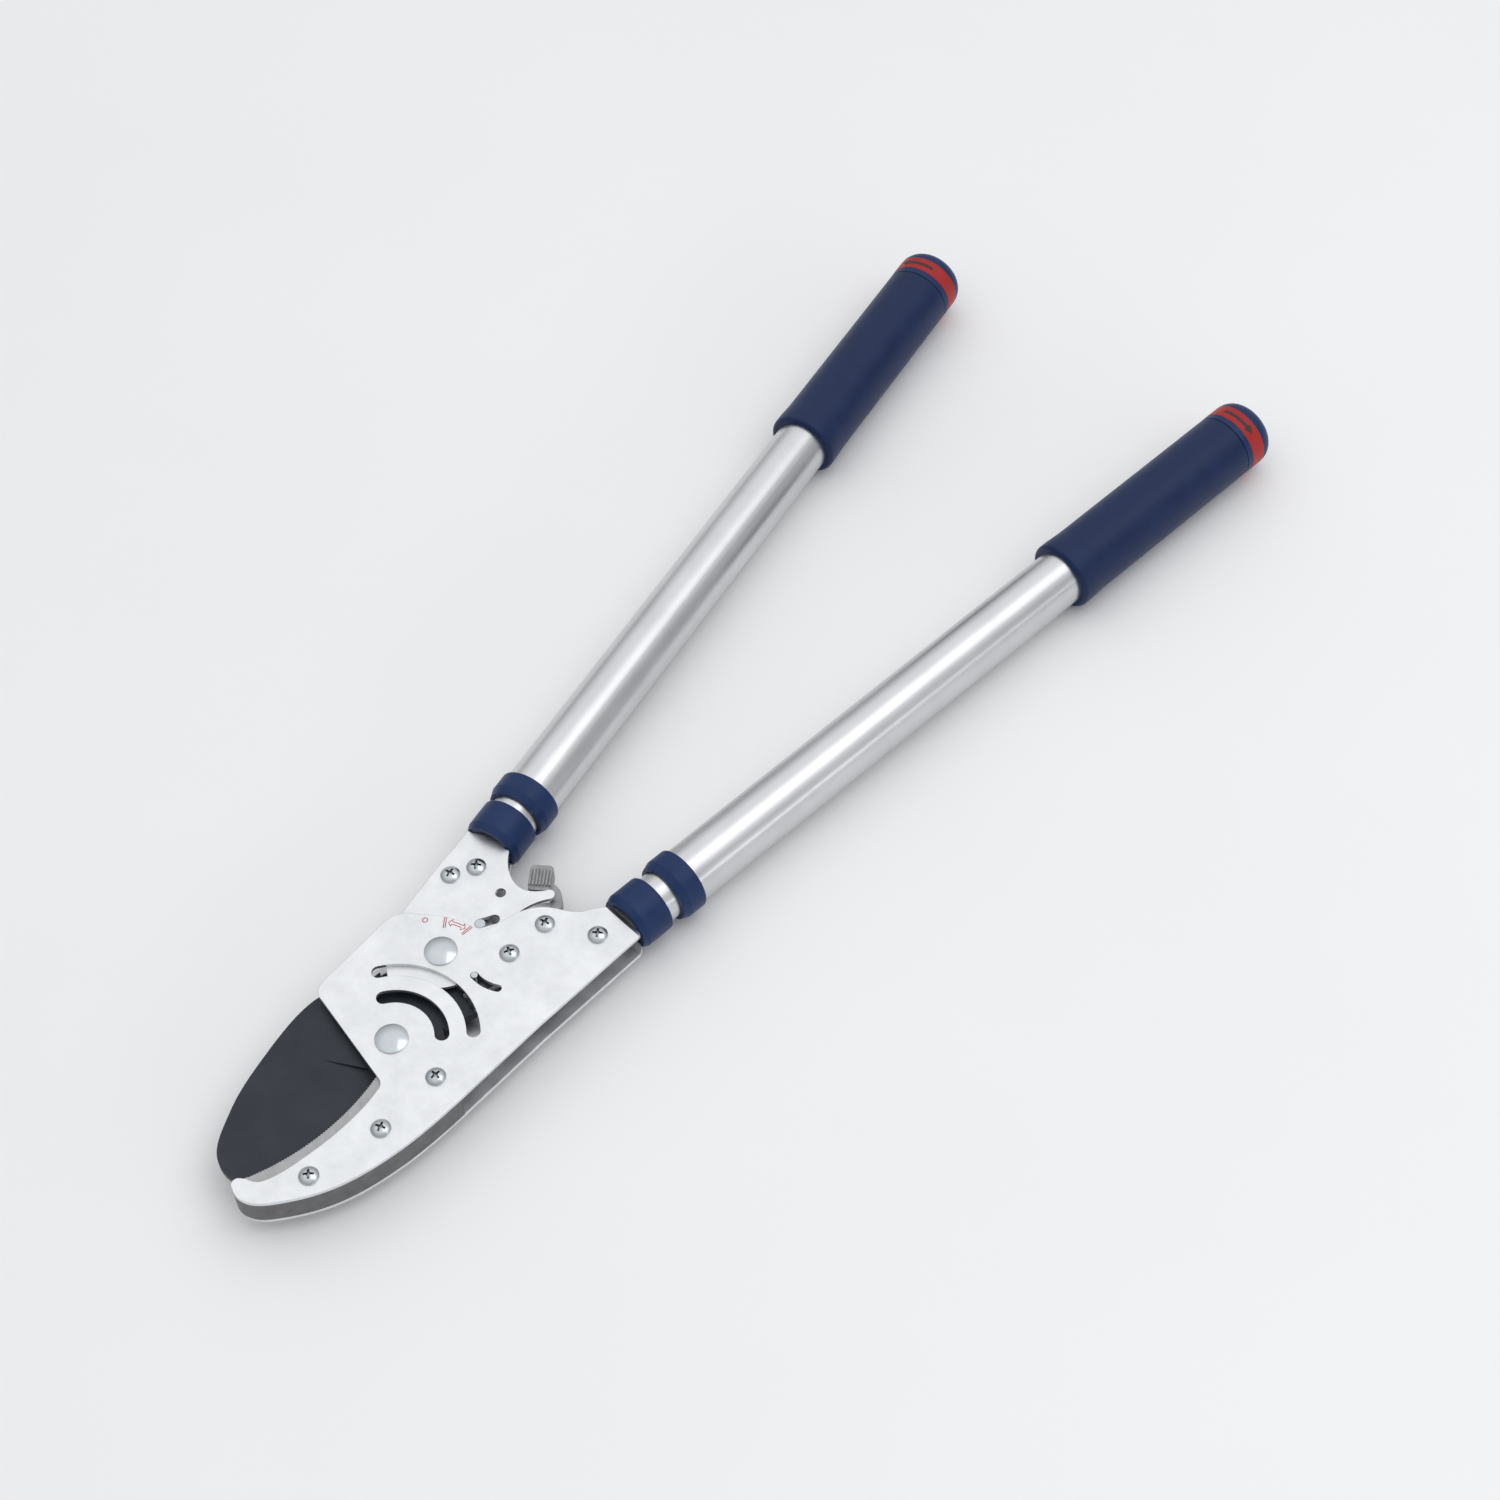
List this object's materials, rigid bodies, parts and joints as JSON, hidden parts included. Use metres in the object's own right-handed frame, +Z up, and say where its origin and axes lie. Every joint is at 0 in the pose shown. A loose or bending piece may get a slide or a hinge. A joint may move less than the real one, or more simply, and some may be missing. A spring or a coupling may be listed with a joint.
{
  "type": "bypass loppers",
  "caption": "Ratchet bypass loppers: a coated blade closing into a hooked jaw between steel plates, with two telescopic twist-lock handles, soft grips and a thumb lock.",
  "frame": {"origin": "middle of the underside of the closed, retracted tool as it lies flat", "axes": "+Y along the fixed handle from the jaw to the grip, +Z up out of the front plate"},
  "size_m": [0.2463, 0.699, 0.0386],
  "materials": {
    "satin_zinc": "satin",
    "grey_steel": "satin",
    "coated_blade": "satin",
    "bright_zinc": "polished",
    "pawl_steel": "satin",
    "cast_lever": "matte",
    "anodised": "satin",
    "navy_plastic": "matte",
    "navy_rubber": "soft matte",
    "red_plastic": "matte",
    "black_nylon": "matte",
    "spring_wire": "bright",
    "bronze": "satin"
  },
  "bodies": {
    "frame": {"front_plate": "satin_zinc", "rear_plate": "satin_zinc", "jaw_insert": "grey_steel", "blade_pivot_rivet": "bright_zinc", "handle_pivot_rivet": "bright_zinc", "blade_washers": "bronze", "plate_sleeves": "pawl_steel", "plate_screws": "bright_zinc", "plate_nuts": "bright_zinc", "holding_pawl_spring": "spring_wire", "fixed_tang_core": "black_nylon", "fixed_tang_pin": "pawl_steel", "fixed_ferrule": "navy_plastic", "fixed_inner_tube": "anodised", "fixed_tube_end_bush": "black_nylon"},
    "moving_handle": {"moving_front_plate": "satin_zinc", "moving_rear_plate": "satin_zinc", "moving_screws": "bright_zinc", "moving_nuts": "bright_zinc", "moving_sleeves": "pawl_steel", "handle_pivot_bush": "bronze", "moving_tang_core": "black_nylon", "moving_tang_pin": "pawl_steel", "moving_ferrule": "navy_plastic", "moving_inner_tube": "anodised", "moving_tube_end_bush": "black_nylon"},
    "blade": {"blade": "coated_blade", "blade_bush": "bronze"},
    "drive_pawl": {"drive_pawl": "pawl_steel", "drive_pawl_pin": "bright_zinc"},
    "holding_pawl": {"holding_pawl": "pawl_steel", "holding_pawl_pin": "bright_zinc"},
    "lock_lever": {"lock_lever": "cast_lever"},
    "fixed_extension": {"fixed_outer_tube": "anodised", "fixed_tube_ring": "navy_plastic", "fixed_grip": "navy_rubber"},
    "fixed_knob": {"fixed_end_knob": "navy_plastic", "fixed_knob_band": "red_plastic", "fixed_lock_rod": "pawl_steel", "fixed_lock_expander": "black_nylon"},
    "moving_extension": {"moving_outer_tube": "anodised", "moving_tube_ring": "navy_plastic", "moving_grip": "navy_rubber"},
    "moving_knob": {"moving_end_knob": "navy_plastic", "moving_knob_band": "red_plastic", "moving_lock_rod": "pawl_steel", "moving_lock_expander": "black_nylon"}
  },
  "joints": [
    {"name": "handle_hinge", "type": "hinge", "parent": "frame", "child": "moving_handle", "pos_m": [0.0518, -0.19362, 0.0193], "axis": [0, 0, 1], "range_deg": [0, 75]},
    {"name": "blade_hinge", "type": "hinge", "parent": "frame", "child": "blade", "pos_m": [0.0734, -0.24302, 0.0193], "axis": [0, 0, 1], "range_deg": [-54.5, 0]},
    {"name": "drive_pawl_slide", "type": "slide", "parent": "moving_handle", "child": "drive_pawl", "axis": [0.4199, 0.9076, 0], "range_m": [0, 0.00728], "stiffness_N_per_m": 40, "springref_m": -0.002},
    {"name": "holding_pawl_hinge", "type": "hinge", "parent": "frame", "child": "holding_pawl", "pos_m": [0.0765, -0.17052, 0.0193], "axis": [0, 0, 1], "range_deg": [0, 40], "stiffness_Nm_per_rad": 0.05, "springref_deg": -17.19},
    {"name": "lock_lever_hinge", "type": "hinge", "parent": "frame", "child": "lock_lever", "pos_m": [0.076, -0.14692, 0.0193], "axis": [0, 0, 1], "range_deg": [-20, 0]},
    {"name": "fixed_extension_slide", "type": "slide", "parent": "frame", "child": "fixed_extension", "axis": [0, 1, 0], "range_m": [0, 0.3]},
    {"name": "moving_extension_slide", "type": "slide", "parent": "moving_handle", "child": "moving_extension", "axis": [-0.2679, 0.9634, 0], "range_m": [0, 0.3]},
    {"name": "fixed_knob_twist", "type": "hinge", "parent": "fixed_extension", "child": "fixed_knob", "pos_m": [0.09934, 0.32768, 0.0193], "axis": [0, 1, 0], "range_deg": [0, 90]},
    {"name": "moving_knob_twist", "type": "hinge", "parent": "moving_extension", "child": "moving_knob", "pos_m": [-0.10217, 0.29487, 0.0193], "axis": [-0.2679, 0.9634, 0], "range_deg": [0, 90]}
  ],
  "couplings": [
    {"joint": "blade_hinge", "follows": "handle_hinge", "ratio": -0.72}
  ]
}
